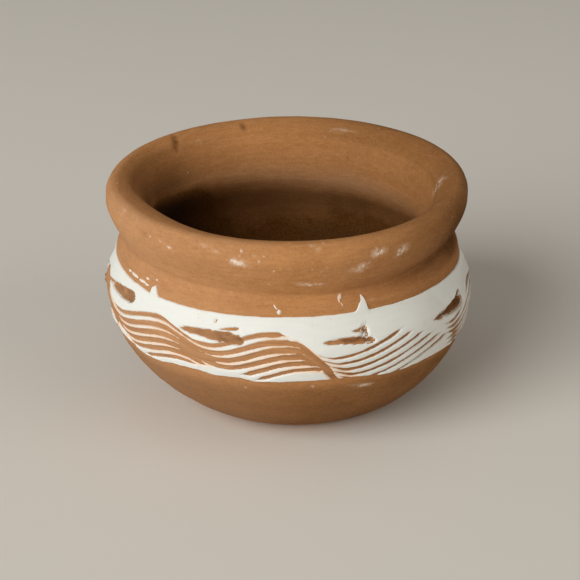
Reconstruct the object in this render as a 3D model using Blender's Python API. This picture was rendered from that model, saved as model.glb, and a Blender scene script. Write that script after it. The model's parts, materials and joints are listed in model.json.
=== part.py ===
# A hand-thrown terracotta planter with a combed band of white slip round its belly.
# Metres, +Z up. The origin is the middle of the foot, on the surface that the pot stands on.
# An angle round the pot is 0 at the front, on -Y, and grows towards +X.

import math

import bmesh
import bpy

# The clay body: how far each station up the wall steps in or out from the one below, and the rise
# between them.
FOOT_RADIUS = 0.0310
BELLY_RADIUS = 0.0556
BELLY_RISE = 0.0350
SHOULDER_INSET = 0.0037
SHOULDER_RISE = 0.0120
CREASE_INSET = 0.0046
CREASE_RISE = 0.0066
RIM_OVERHANG = 0.0067
RIM_RISE = 0.0101
LIP_RISE = 0.0049
LIP_INSET = 0.0036
BELLY_WALL = 0.0065
NECK_WALL = 0.0063
FLOOR_THICKNESS = 0.0080
FLOOR_RADIUS = 0.0240
DRAIN_RADIUS = 0.0060
BOWL_POWER = 0.8

# The coat of slip: how far the band reaches below the belly's widest ring and stops short of the
# shoulder, its thickness, and the gap that the model keeps between it and the clay.
BAND_DROP = 0.0074
BAND_MARGIN = 0.0011
SLIP_THICKNESS = 0.0006
SEAT_GAP = 0.0003
HEM_HEIGHT = 0.0008
HEM_GAP = 0.0008

# The comb: its teeth, the ridge that they leave where it is pressed hard or lightly, and the
# shortest ridge height that still stands.
COMB_TEETH = 6
COMB_PITCH = 0.0023
PRESSED_RIDGE = 0.0005
LIGHT_RIDGE = 0.0015
LEAST_RIDGE = 0.0003

# The comb's waves: each one's trough angle, its depth below the crests, how far along it crests,
# and which waves are combed lightly. Every crest lies one drop below the band's upper edge.
CREST_DROP = 0.0055
TROUGH_DEGREES = (-145, -106, -65, -26, 14, 58, 99, 138, 176)
WAVE_DEPTHS = (0.0050, 0.0046, 0.0045, 0.0038, 0.0064, 0.0064, 0.0050, 0.0062, 0.0048)
CREST_SHARES = (0.62, 0.60, 0.60, 0.61, 0.78, 0.64, 0.60, 0.66, 0.62)
LIGHT_WAVES = (4, 7)
FALL_GAP_DEGREES = 1.5

# One gouged dash over each trough, cut through the slip and into the clay.
DASH_DEGREES = 18.5
DASH_HEIGHT = 0.0025
DASH_DEPTH = 0.0008
DASH_DROP = 0.0060
DASH_POWER = 1.6

# Runs of slip on the band's upper edge: angle, height and width.
RUNS = ((-46.5, 0.0026, 0.0022), (23.5, 0.0042, 0.0026), (124, 0.0030, 0.0024))

# Drops of slip on the shoulder: angle, rise over the band, width and height.
DROPS = (
    (-56.5, 0.0013, 0.0120, 0.0009),
    (-3.0, 0.0020, 0.0010, 0.0020),
    (17.0, 0.0036, 0.0009, 0.0022),
    (-118.0, 0.0022, 0.0016, 0.0024),
)

# Radii and heights that follow from the sizes above.
SHOULDER_RADIUS = BELLY_RADIUS - SHOULDER_INSET
CREASE_RADIUS = SHOULDER_RADIUS - CREASE_INSET
RIM_RADIUS = CREASE_RADIUS + RIM_OVERHANG
SHOULDER_HEIGHT = BELLY_RISE + SHOULDER_RISE
CREASE_HEIGHT = SHOULDER_HEIGHT + CREASE_RISE
RIM_HEIGHT = CREASE_HEIGHT + RIM_RISE
LIP_HEIGHT = RIM_HEIGHT + LIP_RISE
BAND_BOTTOM = BELLY_RISE - BAND_DROP
BAND_TOP = SHOULDER_HEIGHT - BAND_MARGIN
CREST_HEIGHT = BAND_TOP - CREST_DROP
WAVE_COUNT = len(TROUGH_DEGREES)

# Fineness of the meshes: sides round the pot, steps along each part of the section and each piece
# of slip, and the steps over which a slope is measured.
BODY_SEGMENTS = 64
LIP_STEPS = 4
INNER_LIP_STEPS = 6
RIM_STEPS = 6
SHOULDER_STEPS = 5
BELLY_STEPS = 5
BOWL_STEPS = 9
INNER_BOWL_STEPS = 7
BOWL_CROWDING = 1.5
COLLAR_ROWS = 4
COLLAR_STEP_DEGREES = 3
RUN_STEP_DEGREES = 0.6
RUN_STEPS = 3
HEM_STEP_DEGREES = 4
RIDGE_STEPS = 11
DASH_STEPS = 9
DROP_STEPS = 6
BLUNT_END = 0.03
SLOPE_STEP = 0.0002
SLOPE_STEP_DEGREES = 0.5
SHARP_DEGREES = 40
WELD_DISTANCE = 0.00001

CLAY_COLOUR = (0.46, 0.21, 0.085, 1.0)
CLAY_ROUGHNESS = 0.85
SLIP_COLOUR = (0.79, 0.78, 0.70, 1.0)
SLIP_ROUGHNESS = 0.7


def clear_scene():
    for obj in list(bpy.data.objects):
        bpy.data.objects.remove(obj, do_unlink=True)


def make_material(name, colour, roughness):
    material = bpy.data.materials.new(name)
    material.use_nodes = True
    shader = material.node_tree.nodes["Principled BSDF"]
    shader.inputs["Base Color"].default_value = colour
    shader.inputs["Roughness"].default_value = roughness
    shader.inputs["Metallic"].default_value = 0.0
    return material


def add_object(name, mesh, material, parent):
    obj = bpy.data.objects.new(name, mesh)
    bpy.context.scene.collection.objects.link(obj)
    obj.parent = parent
    if material:
        mesh.materials.append(material)
    return obj


def ease(share):
    """A smooth step from 0 to 1, level at both ends."""
    return share * share * (3 - 2 * share)


def bowl(share):
    """The bowl's widening from the foot or floor, 0, to the belly, 1, where it runs upright."""
    return (1 - (1 - share) ** 2) ** BOWL_POWER


def wall_radius(height):
    """The clay's outer radius at a height from the foot to the crease."""
    if height <= BELLY_RISE:
        return FOOT_RADIUS + (BELLY_RADIUS - FOOT_RADIUS) * bowl(height / BELLY_RISE)
    if height <= SHOULDER_HEIGHT:
        share = (height - BELLY_RISE) / SHOULDER_RISE
        return BELLY_RADIUS + (SHOULDER_RADIUS - BELLY_RADIUS) * ease(share)
    share = (height - SHOULDER_HEIGHT) / CREASE_RISE
    return SHOULDER_RADIUS + (CREASE_RADIUS - SHOULDER_RADIUS) * share * share


def eased_curve(start, end, steps):
    """Radius and height points from start, up to but not with end, running upright at both."""
    points = []
    for i in range(steps):
        share = i / steps
        radius = start[0] + (end[0] - start[0]) * ease(share)
        points.append((radius, start[1] + (end[1] - start[1]) * share))
    return points


def rolled_curve(roll, crease, steps):
    """Points of a clay roll from its widest, where it runs upright, to but not with a crease."""
    points = []
    for i in range(steps):
        share = i / steps
        radius = roll[0] + (crease[0] - roll[0]) * share * share
        points.append((radius, roll[1] + (crease[1] - roll[1]) * share))
    return points


def bowl_curve(low, high, steps):
    """Points of a bowl from its belly, high, down to but not with its bottom, low. They crowd
    towards the bottom, where it bends most."""
    points = []
    for i in range(steps):
        share = (1 - i / steps) ** BOWL_CROWDING
        radius = low[0] + (high[0] - low[0]) * bowl(share)
        points.append((radius, low[1] + (high[1] - low[1]) * share))
    return points


def quarter_curve(level_end, upright_end, steps):
    """A quarter of an ellipse from its level end, up to but not with its upright end."""
    points = []
    for i in range(steps):
        turn = math.pi / 2 * i / steps
        radius = upright_end[0] + (level_end[0] - upright_end[0]) * (1 - math.sin(turn))
        height = upright_end[1] + (level_end[1] - upright_end[1]) * math.cos(turn)
        points.append((radius, height))
    return points


def body_profile():
    """The clay's closed section: down the outside, under the foot, and up the inside to the lip."""
    lip = (RIM_RADIUS - LIP_INSET, LIP_HEIGHT)
    rim = (RIM_RADIUS, RIM_HEIGHT)
    crease = (CREASE_RADIUS, CREASE_HEIGHT)
    shoulder = (SHOULDER_RADIUS, SHOULDER_HEIGHT)
    belly = (BELLY_RADIUS, BELLY_RISE)
    foot = (FOOT_RADIUS, 0.0)
    throat = (CREASE_RADIUS - NECK_WALL, CREASE_HEIGHT)
    inner_belly = (BELLY_RADIUS - BELLY_WALL, BELLY_RISE)
    floor = (FLOOR_RADIUS, FLOOR_THICKNESS)

    points = quarter_curve(lip, rim, LIP_STEPS)
    points += rolled_curve(rim, crease, RIM_STEPS)
    points += [crease] + rolled_curve(shoulder, crease, SHOULDER_STEPS)[:0:-1]
    points += eased_curve(shoulder, belly, BELLY_STEPS)
    points += bowl_curve(foot, belly, BOWL_STEPS)
    points += [foot, (DRAIN_RADIUS, 0.0), (DRAIN_RADIUS, FLOOR_THICKNESS), floor]
    points += bowl_curve(floor, inner_belly, INNER_BOWL_STEPS)[:0:-1]
    points += eased_curve(inner_belly, throat, BELLY_STEPS)
    points += [throat] + quarter_curve(lip, throat, INNER_LIP_STEPS)[:0:-1]
    return points


def make_clay_body(material, parent):
    profile = body_profile()
    count = len(profile)
    mesh = bpy.data.meshes.new("clay_body")
    edges = [(i, (i + 1) % count) for i in range(count)]
    mesh.from_pydata([(radius, 0.0, height) for radius, height in profile], edges, [])
    body = add_object("clay_body", mesh, material, parent)
    turn = body.modifiers.new("turn", "SCREW")
    turn.axis = "Z"
    turn.steps = BODY_SEGMENTS
    turn.render_steps = BODY_SEGMENTS
    turn.use_merge_vertices = True
    turn.merge_threshold = WELD_DISTANCE
    turn.use_smooth_shade = True
    return body


def on_wall(degrees, height, stand_off):
    """A point that stands off the clay's outer wall, along the wall's own normal."""
    widening = wall_radius(height + SLOPE_STEP) - wall_radius(height - SLOPE_STEP)
    lean = widening / (2 * SLOPE_STEP)
    length = math.hypot(1, lean)
    radius = wall_radius(height) + stand_off / length
    turn = math.radians(degrees)
    return (
        radius * math.sin(turn),
        -radius * math.cos(turn),
        height - stand_off * lean / length,
    )


def patch_mesh(name, outlines, rows, inner, outer):
    """Closed plates that follow the wall. Each outline is a list of stations, an angle with its
    lower and upper height, and says whether it runs all the way round."""
    mesh = bpy.data.meshes.new(name)
    work = bmesh.new()
    for stations, closed in outlines:
        grid = []
        for degrees, low, high in stations:
            heights = [low + (high - low) * row / rows for row in range(rows + 1)]
            ring = [work.verts.new(on_wall(degrees, height, outer)) for height in heights]
            ring += [work.verts.new(on_wall(degrees, height, inner)) for height in reversed(heights)]
            grid.append(ring)
        count = len(grid)
        across = len(grid[0])
        for i in range(count if closed else count - 1):
            here = grid[i]
            there = grid[(i + 1) % count]
            for j in range(across):
                k = (j + 1) % across
                work.faces.new((here[j], there[j], there[k], here[k]))
        if not closed:
            for ring in (grid[0], grid[-1]):
                for j in range(rows):
                    work.faces.new((ring[j], ring[j + 1], ring[-j - 2], ring[-j - 1]))
    bmesh.ops.recalc_face_normals(work, faces=work.faces)
    work.to_mesh(mesh)
    work.free()
    mesh.shade_smooth()
    mesh.set_sharp_from_angle(angle=math.radians(SHARP_DEGREES))
    return mesh


def make_slip(name, stations, closed, rows, material, parent):
    outer = SEAT_GAP + SLIP_THICKNESS
    mesh = patch_mesh(name, [(stations, closed)], rows, SEAT_GAP, outer)
    return add_object(name, mesh, material, parent)


def trough_of(wave):
    """The angle of a wave's trough, counted on round the pot."""
    turns, place = divmod(wave, WAVE_COUNT)
    return TROUGH_DEGREES[place] + 360 * turns


def crest_of(wave):
    start = trough_of(wave)
    return start + (trough_of(wave + 1) - start) * CREST_SHARES[wave % WAVE_COUNT]


def depth_of(wave):
    return WAVE_DEPTHS[wave % WAVE_COUNT]


def groove_of(wave):
    ridge = LIGHT_RIDGE if wave % WAVE_COUNT in LIGHT_WAVES else PRESSED_RIDGE
    return COMB_PITCH - ridge


def comb_at(degrees):
    """The height of the comb's top tooth at an angle, and the width of groove that it pressed."""
    first = trough_of(0)
    degrees = (degrees - first) % 360 + first
    wave = max(i for i in range(WAVE_COUNT) if trough_of(i) <= degrees)
    crest = crest_of(wave)
    if degrees <= crest:
        share = (degrees - trough_of(wave)) / (crest - trough_of(wave))
        return CREST_HEIGHT - depth_of(wave) * ease(1 - share), groove_of(wave)
    share = (degrees - crest) / (trough_of(wave + 1) - crest)
    width = groove_of(wave) + (groove_of(wave + 1) - groove_of(wave)) * ease(share)
    return CREST_HEIGHT - depth_of(wave + 1) * ease(share), width


def grooves_at(degrees):
    """The heights of the grooves' centre lines at an angle, from the top, and half of their
    height there: a tooth drawn along a slope cuts a taller groove."""
    height, width = comb_at(degrees)
    rise = comb_at(degrees + SLOPE_STEP_DEGREES)[0] - comb_at(degrees - SLOPE_STEP_DEGREES)[0]
    slope = rise / (BELLY_RADIUS * math.radians(2 * SLOPE_STEP_DEGREES))
    half = width / 2 * math.hypot(1, slope)
    return [height - tooth * COMB_PITCH for tooth in range(COMB_TEETH)], half


def run_height(degrees):
    """How far the runs of slip carry the band's upper edge up at an angle."""
    raised = 0.0
    for angle, height, width in RUNS:
        away = math.radians((degrees - angle + 180) % 360 - 180) * SHOULDER_RADIUS
        raised += height * math.exp(-((2 * away / width) ** 2))
    return raised


def collar_stations():
    """The plain slip over the comb, from the first groove up to the band's upper edge."""
    angles = set(range(0, 360, COLLAR_STEP_DEGREES))
    for angle, _, _ in RUNS:
        angles |= {angle + RUN_STEP_DEGREES * i for i in range(-RUN_STEPS, RUN_STEPS + 1)}
    stations = []
    for degrees in sorted(angles, key=lambda angle: angle % 360):
        lines, half = grooves_at(degrees)
        stations.append((degrees, lines[0] + half, BAND_TOP + run_height(degrees)))
    return stations


def hem_top(degrees):
    lines, half = grooves_at(degrees)
    return max(lines[-1] - half, BAND_BOTTOM + HEM_HEIGHT)


def hem_stations():
    """The slip that is left under the comb's last tooth, down to the band's lower edge."""
    return [(degrees, BAND_BOTTOM, hem_top(degrees)) for degrees in range(0, 360, HEM_STEP_DEGREES)]


def ridge_stations(wave, ridge):
    """The slip left standing between two grooves of a wave, from one steep fall to the next."""
    start = (crest_of(wave - 1) + trough_of(wave)) / 2 + FALL_GAP_DEGREES
    end = (crest_of(wave) + trough_of(wave + 1)) / 2 - FALL_GAP_DEGREES
    longest = []
    run = []
    for i in range(RIDGE_STEPS + 1):
        degrees = start + (end - start) * i / RIDGE_STEPS
        lines, half = grooves_at(degrees)
        high = lines[ridge - 1] - half
        low = max(lines[ridge] + half, hem_top(degrees) + HEM_GAP)
        if high - low >= LEAST_RIDGE:
            run.append((degrees, low, high))
        else:
            run = []
        if len(run) > len(longest):
            longest = list(run)
    return longest


def dash_stations(wave):
    """A gouge that is drawn out to a point on its left and blunt on its right."""
    height = BAND_TOP - DASH_DROP
    start = trough_of(wave) - DASH_DEGREES / 2
    stations = []
    for i in range(DASH_STEPS + 1):
        share = BLUNT_END + (1 - 2 * BLUNT_END) * i / DASH_STEPS
        half = DASH_HEIGHT / 2 * math.sin(math.pi * share**DASH_POWER)
        stations.append((start + DASH_DEGREES * share, height - half, height + half))
    return stations


def drop_stations(angle, rise, width, height):
    """A drop of slip with a rounded outline, its middle at a rise over the band."""
    middle = BAND_TOP + rise
    spread = math.degrees(width / SHOULDER_RADIUS)
    stations = []
    for i in range(DROP_STEPS + 1):
        share = BLUNT_END + (1 - 2 * BLUNT_END) * i / DROP_STEPS
        half = height * math.sqrt(share * (1 - share))
        stations.append((angle + spread * (share - 0.5), middle - half, middle + half))
    return stations


def make_dash_cutter(parent):
    """What the gouge took out: one plate for each dash, from inside the clay to over the slip."""
    dashes = [(dash_stations(wave), False) for wave in range(WAVE_COUNT)]
    over = SEAT_GAP + 2 * SLIP_THICKNESS
    mesh = patch_mesh("dash_cutter", dashes, 1, -DASH_DEPTH, over)
    cutter = add_object("dash_cutter", mesh, None, parent)
    cutter.hide_render = True
    cutter.display_type = "WIRE"
    return cutter


def gouge(piece, cutter):
    cut = piece.modifiers.new("gouge", "BOOLEAN")
    cut.operation = "DIFFERENCE"
    cut.object = cutter


def make_ridges(material, parent):
    for wave in range(WAVE_COUNT):
        for ridge in range(1, COMB_TEETH):
            stations = ridge_stations(wave, ridge)
            if len(stations) > 1:
                name = f"slip_ridge_{wave + 1}_{ridge}"
                make_slip(name, stations, False, 1, material, parent)


def main():
    clear_scene()
    clay = make_material("terracotta", CLAY_COLOUR, CLAY_ROUGHNESS)
    slip = make_material("white_slip", SLIP_COLOUR, SLIP_ROUGHNESS)
    planter = bpy.data.objects.new("planter", None)
    bpy.context.scene.collection.objects.link(planter)
    body = make_clay_body(clay, planter)
    collar = make_slip("slip_collar", collar_stations(), True, COLLAR_ROWS, slip, planter)
    cutter = make_dash_cutter(planter)
    gouge(body, cutter)
    gouge(collar, cutter)
    make_slip("slip_hem", hem_stations(), True, 1, slip, planter)
    make_ridges(slip, planter)
    for number, drop in enumerate(DROPS, 1):
        make_slip(f"slip_drop_{number}", drop_stations(*drop), False, 1, slip, planter)


main()
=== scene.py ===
import json
import math

import bpy
import numpy as np
from mathutils import Euler, Matrix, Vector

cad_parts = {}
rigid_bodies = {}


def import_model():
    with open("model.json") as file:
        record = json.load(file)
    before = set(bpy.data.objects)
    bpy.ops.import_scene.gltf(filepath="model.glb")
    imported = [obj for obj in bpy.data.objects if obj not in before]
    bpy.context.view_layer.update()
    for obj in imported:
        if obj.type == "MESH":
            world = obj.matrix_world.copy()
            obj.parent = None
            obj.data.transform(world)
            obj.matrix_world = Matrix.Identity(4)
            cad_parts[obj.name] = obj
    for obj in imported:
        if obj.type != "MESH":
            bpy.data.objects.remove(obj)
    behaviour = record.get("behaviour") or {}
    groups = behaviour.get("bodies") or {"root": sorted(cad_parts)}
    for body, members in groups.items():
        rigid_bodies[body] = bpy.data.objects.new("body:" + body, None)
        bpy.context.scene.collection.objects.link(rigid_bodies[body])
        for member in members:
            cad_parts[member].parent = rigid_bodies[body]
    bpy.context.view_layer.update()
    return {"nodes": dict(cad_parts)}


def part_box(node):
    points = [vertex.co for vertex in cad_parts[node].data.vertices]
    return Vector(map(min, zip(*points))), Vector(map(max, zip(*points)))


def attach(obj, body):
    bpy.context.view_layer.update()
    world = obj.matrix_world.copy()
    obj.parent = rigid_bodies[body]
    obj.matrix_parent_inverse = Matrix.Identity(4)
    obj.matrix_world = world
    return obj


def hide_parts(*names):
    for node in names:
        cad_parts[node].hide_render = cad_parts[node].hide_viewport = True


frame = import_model()
mm = 0.001  # sizes below are in millimetres and degrees; meshes are in metres
print("frame loaded with", len(frame["nodes"]), "nodes")


# camera: as far, as high and as long as in the photograph
shot = {"lens": 93.1, "sensor": 36.0, "nearest": 20.0, "distance": 465.1, "targetHeight": 30.5,
        "elevation": 24.69, "roll": -0.35, "shift": (0.0012, -0.0023)}


def makeCamera():
    rise = math.radians(shot["elevation"])
    data = bpy.data.cameras.new("photoCamera")
    data.lens = shot["lens"]
    data.sensor_width = shot["sensor"]
    data.shift_x, data.shift_y = shot["shift"]
    data.clip_start = shot["nearest"] * mm
    camera = bpy.data.objects.new("photoCamera", data)
    away = shot["distance"] * mm
    place = (0, -away * math.cos(rise), shot["targetHeight"] * mm + away * math.sin(rise))
    turn = Euler((math.pi / 2 - rise, 0, 0)).to_matrix().to_4x4()
    turn = turn @ Matrix.Rotation(math.radians(shot["roll"]), 4, "Z")
    camera.matrix_world = Matrix.Translation(place) @ turn
    bpy.context.scene.collection.objects.link(camera)
    bpy.context.scene.camera = camera


makeCamera()
print("camera placed")


# helpers on whole arrays
def ease(share):  # smooth step from 0 to 1, held level outside
    share = np.clip(share, 0, 1)
    return share * share * (3 - 2 * share)


def easedThrough(points, at):  # eased from each turning point to the next, so level at every one
    x, y = np.array(points, float).T
    i = np.clip(np.searchsorted(x, at) - 1, 0, len(x) - 2)
    return y[i] + (y[i + 1] - y[i]) * ease((at - x[i]) / (x[i + 1] - x[i]))


def roundThrough(points, angle):  # the same for a line that closes round the pot
    first = points[0]
    closed = list(points) + [(first[0] + 360, first[1])]
    return easedThrough(closed, first[0] + np.mod(angle - first[0], 360))


def unwound(angle, middle):  # the same angle, counted within half a turn of the middle
    return middle + np.mod(angle - middle + 180, 360) - 180


def rightward(angle):  # angles from -40 to 320, unbroken on the right and behind
    return unwound(angle, 140)


def comesIn(value, start, over):  # eased from 0 to 1 after the start
    return ease((value - start) / over)


def between(value, start, rise, end, fall):  # eased in after start and out before end
    return comesIn(value, start, rise) * ease((end - value) / fall)


def lowDown(height, strength, level, over):  # a strength that comes in below a level
    return strength * ease((level - height) / over)


def tilted(x, y, tilt):  # a place along and across a mark that is turned by its tilt
    c, s = math.cos(math.radians(tilt)), math.sin(math.radians(tilt))
    return x * c + y * s, y * c - x * s


patchSpan = {"below": 8, "reach": 88, "cover": 90, "spare": 4}  # heights that the patches reach


def patchy(angle, height, wide, tall, seed):
    # random values from -1 to 1 on a lattice of wide by tall cells, eased between its points;
    # it closes round the pot
    across = max(3, round(360 / wide))
    rows = int(patchSpan["cover"] / tall) + patchSpan["spare"]
    lattice = np.random.default_rng(seed).uniform(-1, 1, (across, rows))
    u = np.mod(angle, 360) / 360 * across
    v = np.clip(height + patchSpan["below"], 0, patchSpan["reach"]) / tall
    u, v = np.broadcast_arrays(u, v)
    i, j = np.floor(u).astype(int), np.floor(v).astype(int)
    s, t = ease(u - i), ease(v - j)
    i, k = i % across, (i + 1) % across
    low = lattice[i, j] * (1 - s) + lattice[k, j] * s
    high = lattice[i, j + 1] * (1 - s) + lattice[k, j + 1] * s
    return low * (1 - t) + high * t


# the thrown pot
clayLow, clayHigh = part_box("clay_body")
pot = {
    "footRadius": 30.6, "bellyRadius": (clayHigh.x - clayLow.x) / 2 / mm, "bellyHeight": 35.0,
    "shoulderRadius": 51.9, "shoulderHeight": 47.0,
    "creaseRadius": 47.3, "creaseHeight": 53.6,
    "rimRadius": 54.0, "rimHeight": 63.7,
    "lipRadius": 51.2, "lipHeight": clayHigh.z / mm,
    "throatRadius": 41.0, "innerBelly": 49.1,
    "floorRadius": 24.0, "floorHeight": 8.0, "drainRadius": 6.0,
    "bowlPower": 0.8, "bowlSteepness": 1.5,
    "softening": (0.7, 1.4), "creaseReach": 4,  # the second is for the crease, the first for the rest
    "outerFrom": 43, "outerOver": 3,  # radii at which the wall starts to follow the sag and the bulge
    "outsideEnds": 3.0,  # height
    "columns": 600, "perMillimetre": 10, "stretchPoints": 160,
    "finestRow": 0.36, "bandRow": 0.42, "lowRow": 1.6, "lowRowsBelow": 24,
}
sway = {"perHeight": -0.046, "bend": 0.0503, "about": 30.5, "unit": 55.5}  # leans as it rises
rimTilt = {"back": 0.024, "from": 42.0, "over": 24.0, "shift": 0.2}
rimSwell = ((2, -0.39, 0), (3, 0.32, -47))  # lobes, millimetres, phase
creaseSag = ((-90, -0.8), (-55, -1.2), (-15, -1.2), (10, -2.2), (28, -2.6), (62, -2.3), (75, -2.7),
             (92, -2.0), (180, -0.5))
sagReach = {"below": 7.6, "above": 9, "rounds": 40}  # how far from the crease its sag is felt
creaseFill = ((-95, 0.0), (-60, 2.2), (-20, 2.3), (8, 1.7), (30, 0.7), (48, -0.4), (72, -0.6), (92, 0.0),
              (180, 0.4))
fillReach = 3.2
rimThick = ((-58, 30, 2.2), (-105, 30, -2.0), (50, 35, -0.7))  # angle, reach, millimetres added inside
rimInside = (-30, 15, 0, 6)  # where that shows, from the throat to the lip
wobble = ((2, 0.0022, 40), (3, 0.0016, 155), (5, 0.0008, 80))  # lobes, share of the radius, phase
bulge = {"angle": -93, "height": 37.0, "rise": 0.8, "degrees": 14, "tall": 6.0}  # beside the far left gouge


def potSection():
    # closed section through the wall: down the outside, under the foot, up the drain and the inside;
    # returns radius, height and row spacing at every tenth of a millimetre, corners softened
    p = pot
    t = np.linspace(0, 1, p["stretchPoints"], endpoint=False)

    def quarter(level, upright):  # quarter ellipse from its level end to its upright end
        turn = t * math.pi / 2
        radius = upright[0] + (level[0] - upright[0]) * (1 - np.sin(turn))
        return radius, upright[1] + (level[1] - upright[1]) * np.cos(turn)

    def rolled(roll, crease):  # parabola from a roll's widest to a crease
        return roll[0] + (crease[0] - roll[0]) * t * t, roll[1] + (crease[1] - roll[1]) * t

    def eased(start, end):
        return start[0] + (end[0] - start[0]) * ease(t), start[1] + (end[1] - start[1]) * t

    def bowl(low, high):  # from the belly down to the foot or floor, steeper and steeper
        share = (1 - t) ** p["bowlSteepness"]
        widening = (1 - (1 - share) ** 2) ** p["bowlPower"]
        return low[0] + (high[0] - low[0]) * widening, low[1] + (high[1] - low[1]) * share

    def straight(start, end):
        return start[0] + (end[0] - start[0]) * t, start[1] + (end[1] - start[1]) * t

    def back(line):  # the same line the other way round, its end left out
        return line[0][:0:-1], line[1][:0:-1]

    lip, rim = (p["lipRadius"], p["lipHeight"]), (p["rimRadius"], p["rimHeight"])
    crease, throat = (p["creaseRadius"], p["creaseHeight"]), (p["throatRadius"], p["creaseHeight"])
    shoulder, belly = (p["shoulderRadius"], p["shoulderHeight"]), (p["bellyRadius"], p["bellyHeight"])
    foot, floor = (p["footRadius"], 0.0), (p["floorRadius"], p["floorHeight"])
    innerBelly = (p["innerBelly"], p["bellyHeight"])
    drainLow, drainHigh = (p["drainRadius"], 0.0), (p["drainRadius"], p["floorHeight"])
    stretches = (  # line and the row spacing on it
        (quarter(lip, rim), 1.0), (rolled(rim, crease), 1.0), (back(rolled(shoulder, crease)), 0.8),
        (eased(shoulder, belly), p["bandRow"]), (bowl(foot, belly), p["bandRow"]),
        (straight(foot, drainLow), 4), (straight(drainLow, drainHigh), 1.6), (straight(drainHigh, floor), 4),
        (back(bowl(floor, innerBelly)), 3), (eased(innerBelly, throat), 1.8),
        (back(quarter(lip, throat)), 1.1))
    radius = np.concatenate([line[0] for line, _ in stretches])
    height = np.concatenate([line[1] for line, _ in stretches])
    spacing = np.concatenate([np.full(len(line[0]), step) for line, step in stretches])
    low = (height < p["lowRowsBelow"]) & (spacing == p["bandRow"])
    spacing = np.where(low, p["lowRow"], spacing)  # wider below the band
    closedRadius, closedHeight = np.append(radius, radius[0]), np.append(height, height[0])
    length = np.append(0, np.cumsum(np.hypot(np.diff(closedRadius), np.diff(closedHeight))))
    step = 1 / p["perMillimetre"]
    at = np.arange(0, length[-1], step)
    radius, height = np.interp(at, length, closedRadius), np.interp(at, length, closedHeight)
    spacing = np.interp(at, length[:-1], spacing)
    wave = np.fft.fftfreq(len(at), step)
    creaseAt = length[2 * p["stretchPoints"]]  # after the lip's stretch and the rim's
    nearCrease = np.exp(-(((at - creaseAt) / p["creaseReach"]) ** 2))

    def soft(values):
        tight, wide = (np.exp(-2 * (math.pi * width * wave) ** 2) for width in p["softening"])
        tight, wide = (np.fft.ifft(np.fft.fft(values) * share).real for share in (tight, wide))
        return tight + (wide - tight) * nearCrease

    radius, height, spacing = soft(radius), soft(height), soft(spacing)
    return radius, np.maximum(height, 0), np.maximum(spacing, p["finestRow"])


def normals(radius, height):  # outward normals of a closed section
    alongRadius = np.roll(radius, -1) - np.roll(radius, 1)
    alongHeight = np.roll(height, -1) - np.roll(height, 1)
    length = np.hypot(alongRadius, alongHeight) + 1e-9
    return -alongHeight / length, alongRadius / length


section = potSection()
sectionNormal = normals(section[0], section[1])
outerEnd = int(np.argmax(section[1] < pot["outsideEnds"]))  # the outside goes from the lip to here
outside = slice(0, outerEnd)


def wallAt(height):  # the outer wall's radius and normal at a height below the crease
    line = section[1][outside][::-1]
    values = (section[0], sectionNormal[0], sectionNormal[1])
    return [np.interp(height, line, v[outside][::-1]) for v in values]


def sagging(angle, height):  # how far the sagging crease takes a height with it
    up = height - pot["creaseHeight"]
    share = np.where(up < 0, ease(up / sagReach["below"] + 1), 1 - ease(up / sagReach["above"]))
    return share * roundThrough(creaseSag, angle)


def beforeSag(angle, height):  # the height on the section that the sag brings to this height
    start = height
    for _ in range(sagReach["rounds"]):
        start = height - sagging(angle, start)
    return start


def handThrown(angle, radius, height):
    # from the true round to the pot as thrown: the crease lower and shallower in front, a bulge,
    # lobes in the round, a lean, and a tilted rim
    turn = np.radians(angle)
    outer = ease((radius - pot["outerFrom"]) / pot["outerOver"])
    up = height - pot["creaseHeight"]
    radius = radius + outer * np.exp(-((up / fillReach) ** 2)) * roundThrough(creaseFill, angle)
    height = height + outer * sagging(angle, height)
    turned = (unwound(angle, bulge["angle"]) - bulge["angle"]) / bulge["degrees"]
    raised = (height - bulge["height"]) / bulge["tall"]
    radius = radius + outer * bulge["rise"] * np.exp(-(turned**2) - raised**2)
    for lobes, share, phase in wobble:
        radius = radius * (1 + share * np.cos(lobes * turn + math.radians(phase)))
    high = ease((height - rimTilt["from"]) / rimTilt["over"])
    for lobes, swell, phase in rimSwell:
        radius = radius + high * swell * np.cos(lobes * turn + math.radians(phase))
    x, y = radius * np.sin(turn) + high * rimTilt["shift"], -radius * np.cos(turn)
    z = height + high * rimTilt["back"] * y
    up = (height - sway["about"]) / sway["unit"]
    x = x + sway["unit"] * (sway["perHeight"] * up + sway["bend"] * up * up)
    return np.stack(np.broadcast_arrays(x, y, z), -1) * mm


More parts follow.
